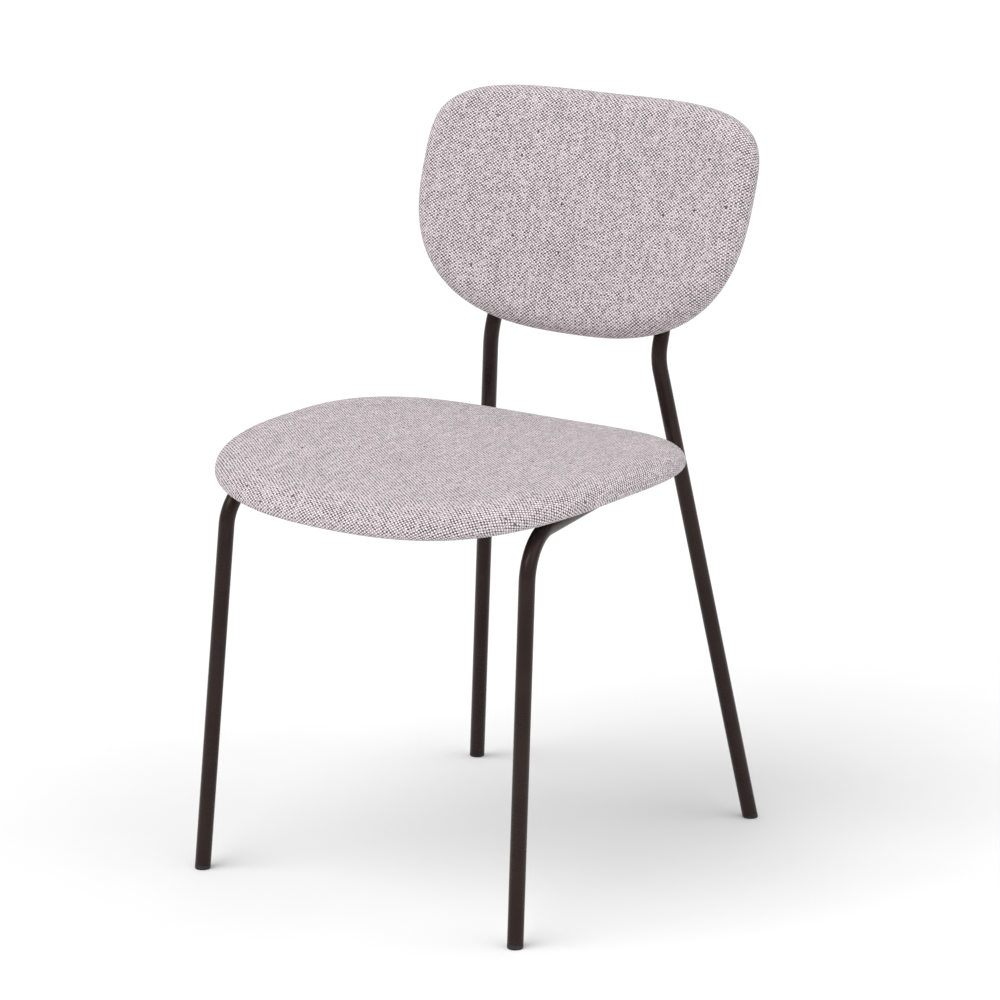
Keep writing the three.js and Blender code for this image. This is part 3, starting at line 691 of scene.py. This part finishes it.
class Cushion:
    """A padded shell: a flat outline, an edge profile and a place in the chair."""

    def __init__(self, half_width, low, high, thickness, edge, rim, place):
        self.half_width = half_width
        self.low, self.high = low, high  # (reach, power) of the two halves
        self.thickness = thickness
        self.lower_width, self.lower_height, self.upper_width = edge
        self.rim = rim
        self.place = place
        self.points = 240
        self.face_steps, self.upper_steps, self.lower_steps = 26, 14, 10
        self.tip = self.face_steps + self.upper_steps - 1  # the stage that lies furthest out
        self._outline()

    def _outline(self):
        turn = np.linspace(0, 2 * math.pi, 4001)[:-1]
        reach = np.where(np.cos(turn) > 0, self.high[0], self.low[0])
        power = np.where(np.cos(turn) > 0, self.high[1], self.low[1])
        across = np.abs(np.sin(turn) / self.half_width) ** power
        upward = np.abs(np.cos(turn) / reach) ** power
        radius = (across + upward) ** (-1 / power)
        line = np.stack([radius * np.sin(turn), radius * np.cos(turn)], axis=1)
        closed = np.vstack([line, line[:1]])
        gaps = np.linalg.norm(np.diff(closed, axis=0), axis=1)
        walk = np.concatenate([[0], np.cumsum(gaps)])
        at = np.linspace(0, walk[-1], self.points, endpoint=False)
        self.line = np.stack([np.interp(at, walk, closed[:, k]) for k in range(2)], axis=1)
        run = np.roll(self.line, -1, axis=0) - np.roll(self.line, 1, axis=0)
        run /= np.linalg.norm(run, axis=1)[:, None]
        self.inward = np.stack([run[:, 1], -run[:, 0]], axis=1)

    def flat_ring(self, inset, share=1.0):
        return (self.line + self.inward * inset) * share

    def stages(self, depth):
        """(inset, share, height, run) from the face's centre round the edge to the underside.
        The run is the length of cloth past the face's border."""
        top = self.thickness - depth
        rows = [(self.upper_width, share, top, 0.0)
                for share in np.linspace(0, 1, self.face_steps + 1)[1:] ** 0.9]
        run, last = 0.0, (self.upper_width, top)
        quarter = math.pi / 2
        edge = [(self.upper_width, self.thickness - self.lower_height, a)
                for a in quarter * (1 - np.arange(1, self.upper_steps + 1) / self.upper_steps)]
        edge += [(self.lower_width, -self.lower_height, a)
                 for a in quarter * np.arange(1, self.lower_steps + 1) / self.lower_steps]
        for width, rise, angle in edge:
            inset = depth + (width - depth) * (1 - math.cos(angle))
            reach = abs(rise) - depth
            height = self.lower_height + math.copysign(reach, rise) * math.sin(angle)
            run += math.dist((inset, height), last)
            last = (inset, height)
            rows.append((inset, 1.0, height, run))
        return rows

    def rim_stages(self, depth, steps=10):
        start = self.stages(depth)[-1]
        insets = np.linspace(start[0], self.rim, steps + 1)[1:]
        return [(inset, 1.0, depth, start[3] + inset - start[0]) for inset in insets]

    def surface(self, rows):
        """Points of each stage's ring, and their cloth coordinates in millimetres."""
        rings, cloth = [], []
        border = self.flat_ring(self.upper_width)
        for inset, share, height, run in rows:
            ring = self.flat_ring(inset, share)
            rings.append(self.place(ring[:, 0], ring[:, 1], np.full(len(ring), height)))
            cloth.append(ring if run == 0 else border - self.inward * run)
        return np.array(rings), np.array(cloth)

    def normals(self, rings):
        along = np.roll(rings, -1, axis=1) - np.roll(rings, 1, axis=1)
        down = np.gradient(rings, axis=0)
        normal = np.cross(along, down)
        normal /= np.maximum(np.linalg.norm(normal, axis=2), 1e-9)[..., None]
        centre = rings.reshape(-1, 3).mean(axis=0)
        if np.sum(normal * (rings - centre)) < 0:
            normal = -normal
        return normal


def seat_place(x, y, height):
    side = x / SEAT_HALF_WIDTH
    front = np.maximum(0, -y - SEAT_FRONT_FLAT) / (SEAT_FRONT_REACH - SEAT_FRONT_FLAT)
    lift = SEAT_SIDE_RISE * side ** 2 - SEAT_FRONT_DROP * front ** 2
    return np.stack([x, y + SEAT_CENTRE_Y, SEAT_UNDERSIDE + lift + height], axis=-1)


def back_centre_y():
    middle = post(1, BACK_CENTRE_HEIGHT)
    radius = BACK_CURVE + BACK_THICKNESS / 2 + BACK_STANDOFF + TUBE_RADIUS
    depth = BACK_CURVE - math.sqrt(radius ** 2 - middle[0] ** 2)
    return middle[1] + depth / math.cos(RECLINE)


BACK_CENTRE_Y = back_centre_y()


def back_place(x, y, height):
    angle = x / BACK_CURVE
    radius = BACK_CURVE + BACK_THICKNESS / 2 - height
    forward = BACK_CURVE - radius * np.cos(angle)
    return np.stack([radius * np.sin(angle),
                     BACK_CENTRE_Y + y * math.sin(RECLINE) - forward * math.cos(RECLINE),
                     BACK_CENTRE_HEIGHT + y * math.cos(RECLINE) + forward * math.sin(RECLINE)],
                    axis=-1)


SEAT = Cushion(SEAT_HALF_WIDTH, (SEAT_FRONT_REACH, SEAT_FRONT_POWER),
               (SEAT_REAR_REACH, SEAT_REAR_POWER), SEAT_THICKNESS, SEAT_EDGE, SEAT_RIM, seat_place)
BACK = Cushion(BACK_HALF_WIDTH, (BACK_LOWER_REACH, BACK_LOWER_POWER),
               (BACK_UPPER_REACH, BACK_UPPER_POWER), BACK_THICKNESS, BACK_EDGE, BACK_RIM,
               back_place)


def inflate(cushion, name, slack, crown):
    """Presses the cover from inside with Blender's Cloth. Returns how far each point of the
    outer surface moves out, in millimetres. The pad swells about ten times as far as the crown,
    so only the shape of its swelling is kept, with its highest point scaled to the crown."""
    rows = cushion.stages(slack)
    rings, _ = cushion.surface(rows)
    outer, _ = cushion.surface(cushion.stages(0.0))
    pad = Shape().rings(list(rings[::2]) + [rings[-1]]).piece(name, CLOTH)
    remesh = pad.modifiers.new("remesh", "REMESH")
    remesh.mode = "VOXEL"
    remesh.voxel_size = 0.006
    apply_modifiers(pad)
    # the underside is stapled to the plywood
    under = unit(cushion.normals(rings)[-1].mean(axis=0))
    normals = np.array([tuple(v.normal) for v in pad.data.vertices])
    held = pad.vertex_groups.new(name="held")
    held.add([int(i) for i in np.nonzero(normals @ under > 0.8)[0]], 1.0, "REPLACE")
    cloth = pad.modifiers.new("cloth", "CLOTH")
    settings = cloth.settings
    settings.quality = 6
    settings.mass = 0.3
    settings.tension_stiffness = settings.compression_stiffness = 80
    settings.shear_stiffness = 20
    settings.bending_stiffness = 2.0
    settings.vertex_group_mass = "held"
    settings.use_pressure = True
    settings.uniform_pressure_force = 4.0
    settings.effector_weights.gravity = 0
    cloth.point_cache.frame_start, cloth.point_cache.frame_end = 1, 20
    for step in range(1, 21):
        bpy.context.scene.frame_set(step)
    apply_modifiers(pad)
    bpy.context.scene.frame_set(1)
    flat = np.empty(len(pad.data.vertices) * 3)
    pad.data.vertices.foreach_get("co", flat)
    tree = BVHTree.FromPolygons([tuple(point) for point in flat.reshape(-1, 3) / MM],
                                [tuple(face.vertices) for face in pad.data.polygons])
    bpy.data.objects.remove(pad)
    out = cushion.normals(outer)
    inside = 14.0
    swell = np.zeros(outer.shape[:2])
    for k, i in np.ndindex(swell.shape):
        start, way = Vector(outer[k, i] - out[k, i] * inside), Vector(out[k, i])
        hit = tree.ray_cast(start, way, 150)
        swell[k, i] = hit[3] - inside if hit[0] is not None else 0.0
    for _ in range(14):
        swell = (swell + np.roll(swell, 1, axis=1) + np.roll(swell, -1, axis=1)) / 3
        padded = np.pad(swell, ((1, 1), (0, 0)), mode="edge")
        swell = (padded[:-2] + padded[1:-1] + padded[2:]) / 3
    swell -= swell[cushion.tip].mean()
    swell *= crown / swell.max()
    fade = np.ones(len(rows))
    fade[cushion.tip:] = np.linspace(1, 0, len(rows) - cushion.tip)
    return swell * fade[:, None]


def apply_modifiers(piece):
    graph = bpy.context.evaluated_depsgraph_get()
    mesh = bpy.data.meshes.new_from_object(piece.evaluated_get(graph), depsgraph=graph)
    piece.modifiers.clear()
    piece.data = mesh


def add_cloth(piece, values):
    """Stores cloth coordinates, in metres, for the weave."""
    attribute = piece.data.attributes.new("cloth", "FLOAT_VECTOR", "POINT")
    flat = np.zeros((len(piece.data.vertices), 3), np.float32)
    flat[:, :2] = values * MM
    attribute.data.foreach_set("vector", flat.ravel())


def skin(cushion, name, swell, pleat):
    """The cover: face, edge and the rim that turns in under, with its thickness."""
    layers = []
    for depth in (0.0, FABRIC):
        rows = cushion.stages(depth)
        rings, cloth = cushion.surface(rows)
        out = cushion.normals(rings)
        rings = rings + out * swell[..., None]
        rim_rows = cushion.rim_stages(depth)
        turned, turned_cloth = cushion.surface(rim_rows)
        down = cushion.normals(rings)[-1]
        across = np.linspace(0, 1, len(rim_rows))
        reach = across * (1 - across)
        turned = turned + down[None] * (pleat_wave(cushion) * pleat * 4 * reach[:, None])[..., None]
        layers.append((np.concatenate([rings, turned]), np.concatenate([cloth, turned_cloth])))
    (outer, outer_cloth), (inner, inner_cloth) = layers
    shape = Shape().rings(list(outer) + list(inner[::-1]))
    piece = shape.piece(name, CLOTH, crease=None)
    cloth = np.concatenate([outer_cloth, inner_cloth[::-1]]).reshape(-1, 2)
    add_cloth(piece, np.vstack([cloth, [[0, 0], [0, 0]]]))
    return piece


def pleat_wave(cushion):
    """0 to 1 round the outline: folds gather where the outline turns most."""
    turn = np.linalg.norm(np.roll(cushion.inward, -2, axis=0) - np.roll(cushion.inward, 2, axis=0),
                          axis=1)
    gather = np.clip(turn / turn.max(), 0.12, 1)
    walk = np.cumsum(gather)
    return gather * (0.5 - 0.5 * np.cos(walk * 1.9))


def foam_block(cushion, name, swell):
    depth = FABRIC + GAP
    base = FABRIC + 2 * GAP + PLYWOOD
    rows = cushion.stages(depth)
    rings, _ = cushion.surface(rows)
    rings = rings + cushion.normals(rings) * swell[..., None]
    keep = [k for k, row in enumerate(rows) if row[2] > base + 1]
    foot = [(PLYWOOD_INSET, 1.0, base, 0)]
    foot += [(cushion.upper_width, share, base, 0) for share in np.linspace(1, 0.02, 12)]
    under, _ = cushion.surface(foot)
    return Shape().rings(list(rings[keep]) + list(under)).piece(name, FOAM, crease=50)


seat_swell = inflate(SEAT, "seat_pad", PAD_SLACK, CROWN)
back_swell = inflate(BACK, "back_pad", PAD_SLACK, CROWN)

seat_cover = skin(SEAT, "seat_upholstery", seat_swell, SEAT_PLEAT)
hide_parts("seat_cover")
back_cover = skin(BACK, "back_upholstery", back_swell, BACK_PLEAT)
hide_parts("back_cover")
seat_foam = foam_block(SEAT, "seat_foam_pad", seat_swell)
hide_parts("seat_foam")
back_foam = foam_block(BACK, "back_foam_pad", back_swell)
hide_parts("back_foam")


def area(ring):
    x, y = ring[:, 0], ring[:, 1]
    return abs(np.dot(x, np.roll(y, -1)) - np.dot(y, np.roll(x, -1))) / 2


def sheet(cushion, name, inset, low, high, hem, finish):
    """A thin sheet between two heights in the cushion, with a folded hem."""
    rows, cloth = [], []

    def row(amount, share, height):
        ring = cushion.flat_ring(amount, share)
        rows.append(cushion.place(ring[:, 0], ring[:, 1], np.full(len(ring), height)))
        cloth.append(ring)

    shares = np.linspace(0.01, 1, 22)
    for share in shares:
        row(inset + 14, share, high)
    for amount in np.linspace(13, 1, 6):
        row(inset + amount, 1.0, high)
    thick = low - hem
    for turn in np.linspace(0, math.pi, 9):
        middle, half = (high + thick) / 2, (high - thick) / 2
        row(inset + half * (1 - math.sin(turn)), 1.0, middle + half * math.cos(turn))
    for amount in np.linspace(2, 11, 5):
        row(inset + amount, 1.0, thick)
    row(inset + 12.5, 1.0, low - hem * 0.35)
    row(inset + 14, 1.0, low)
    for share in shares[::-1][1:]:
        row(inset + 14, share, low)
    piece = Shape().rings(rows).piece(name, finish, crease=None)
    add_cloth(piece, np.vstack([np.concatenate(cloth), [[0, 0], [0, 0]]]))
    flat = cushion.flat_ring(inset)
    size = np.ptp(flat, axis=0) * MM
    return piece, tuple(float(v) for v in size), float(area(flat)) * MM * MM


dust, dust_size, dust_area = sheet(SEAT, "underside_cloth", DUST_INSET, -0.8, -GAP, 0.5, DUST)
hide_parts("seat_dust_cover")
rear, rear_size, rear_area = sheet(BACK, "back_rear_upholstery", BACK_RIM + GAP, 0.4, 1.5, 0.3,
                                   CLOTH)
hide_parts("back_rear_cover")

# staples through the dust cloth's hem
STAPLE_SPACING, STAPLE_TILT, STAPLE_NUDGE = 5, 0.12, 0.7
STAPLE_WIRE = ((-5.0, 2.0), (-5.0, -1.2), (-4.6, -1.75), (-4.0, -1.9), (0.0, -1.95),
               (4.0, -1.9), (4.6, -1.75), (5.0, -1.2), (5.0, 2.0))  # along, and height
staples = Shape()
ring = SEAT.flat_ring(DUST_INSET + 6)
for i in range(0, SEAT.points, STAPLE_SPACING):
    tilt = RANDOM.normal(0, STAPLE_TILT)
    nudge = RANDOM.normal(0, STAPLE_NUDGE)
    run = np.array((SEAT.inward[i][1], -SEAT.inward[i][0]))
    run = np.array((run[0] * math.cos(tilt) - run[1] * math.sin(tilt),
                    run[0] * math.sin(tilt) + run[1] * math.cos(tilt)))
    middle = ring[i] + SEAT.inward[i] * nudge
    rings = []
    cos, sin = circle(10)
    for t, drop in STAPLE_WIRE:
        spot = middle + run * t
        centre = SEAT.place(spot[0], spot[1], drop)
        side = np.array((*SEAT.inward[i], 0.0))
        upright = UP if abs(t) < 4.5 else np.array((*run, 0.0))
        rings.append(centre + np.outer(cos * 0.55, side) + np.outer(sin * 0.35, upright))
    staples.rings(rings)
staples.piece("dust_cloth_staples", ZINC)


# ------------------------------------------------------------------ back screws


def back_screw_place(sign, height):
    centre = post(sign, height)
    dy, dz = centre[1] - BACK_CENTRE_Y, centre[2] - BACK_CENTRE_HEIGHT
    depth = dz * math.sin(RECLINE) - dy * math.cos(RECLINE)
    angle = math.atan2(centre[0], BACK_CURVE - depth)
    forward = np.array((-math.sin(angle), -math.cos(angle) * math.cos(RECLINE),
                        math.cos(angle) * math.sin(RECLINE)))
    upward = dy * math.sin(RECLINE) + dz * math.cos(RECLINE)
    return centre, forward, angle * BACK_CURVE, upward


def saddle_washer(centre, forward, axis):
    """Round washer, hollowed below to sit on the tube."""
    cos, sin = circle(48)
    across = unit(np.cross(axis, forward))
    upright = np.cross(forward, across)

    def ring(radius, height):
        x, y = cos * radius, sin * radius
        base = np.sqrt(TUBE_RADIUS ** 2 - x ** 2) + 0.02
        level = base if height is None else np.full(48, height)
        return centre - np.outer(level, forward) + np.outer(x, across) + np.outer(y, upright)

    top = TUBE_RADIUS + GAP
    rings = [ring(3.3, None), ring(6.6, None), ring(7.1, top - 0.45), ring(6.7, top - 0.05),
             ring(6.0, top), ring(3.3, top)]
    return Shape().rings(rings, ends="loop")


for side, sign in SIDES.items():
    for level, height in BACK_SCREW_HEIGHTS.items():
        centre, forward, across, upward = back_screw_place(sign, height)
        axis = unit(post(sign, POST_TOP_HEIGHT) - post(sign, POST_BEND_HEIGHT + 20))
        panel = BACK.place(np.array(across), np.array(upward), np.array(FABRIC + GAP + PLYWOOD))
        head = centre - forward * (TUBE_RADIUS + GAP)
        length = float(np.dot(panel - forward * TEE_RECESS - head, forward)) - 1
        bolt = screw(head, forward, length).piece(f"bolt_back_{level}_{side}", ZINC)
        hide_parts(f"back_{level}_{side}_screw")
        washer = saddle_washer(centre, forward, axis)
        washer.piece(f"saddle_washer_{level}_{side}", PLASTIC)

for name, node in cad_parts.items():
    for ending, finish in (("_panel", WOOD), ("_tee_nut", ZINC)):
        if name.endswith(ending):
            for slot in node.material_slots:
                slot.material = finish.material


# ------------------------------------------------------------------ stage, light and camera


def add_floor():
    mesh = bpy.data.meshes.new("floor")
    reach = 40.0
    corners = [(-reach, -reach, 0), (reach, -reach, 0), (reach, reach, 0), (-reach, reach, 0)]
    mesh.from_pydata(corners, [], [(0, 1, 2, 3)])
    finish = Finish("pale_floor", "upholstery", Roughness=0.9, Specular_IOR_Level=0.1)
    cloud = finish.noise(finish.place(), 3, 3)
    colour = finish.blend(cloud.rise(0.3, 0.7), (0.93, 0.93, 0.93), (0.95, 0.95, 0.95))
    finish.wear(colour)
    mesh.materials.append(finish.material)
    floor = bpy.data.objects.new("floor", mesh)
    bpy.context.scene.collection.objects.link(floor)


CAMERA_AZIMUTH, CAMERA_ELEVATION, CAMERA_DISTANCE = 35.30, 14.82, 4.586
CAMERA_TARGET = (0.0168, 0.0155, 0.4132)
CAMERA_LENS, CAMERA_SENSOR = 146.4, 36.0
WORLD_STRENGTH = 0.56
SUNS = {"key": (-20, 55, 1.62, 50), "fill": (95, 45, 0.75, 60)}


def towards(azimuth, elevation):
    """Unit vector from the chair, with azimuth 0 at its front and angles in degrees."""
    a, e = math.radians(azimuth), math.radians(elevation)
    return Vector((math.sin(a) * math.cos(e), -math.cos(a) * math.cos(e), math.sin(e)))


def add_sun(name, azimuth, elevation, strength, spread):
    data = bpy.data.lights.new(name, "SUN")
    data.energy = strength
    data.angle = math.radians(spread)
    lamp = bpy.data.objects.new(name, data)
    lamp.rotation_euler = towards(azimuth, elevation).to_track_quat("Z", "Y").to_euler()
    bpy.context.scene.collection.objects.link(lamp)


def add_camera():
    away = towards(CAMERA_AZIMUTH, CAMERA_ELEVATION)
    data = bpy.data.cameras.new("camera")
    data.sensor_width = CAMERA_SENSOR
    data.lens = CAMERA_LENS
    camera = bpy.data.objects.new("camera", data)
    camera.location = Vector(CAMERA_TARGET) + away * CAMERA_DISTANCE
    camera.rotation_euler = away.to_track_quat("Z", "Y").to_euler()
    bpy.context.scene.collection.objects.link(camera)
    bpy.context.scene.camera = camera


add_floor()
world = bpy.data.worlds.new("studio")
world.use_nodes = True
background = world.node_tree.nodes["Background"]
background.inputs["Color"].default_value = (1.0, 1.0, 1.0, 1)
background.inputs["Strength"].default_value = WORLD_STRENGTH
bpy.context.scene.world = world
for name, sun in SUNS.items():
    add_sun(name, *sun)
add_camera()
bpy.context.scene.view_settings.view_transform = "Standard"
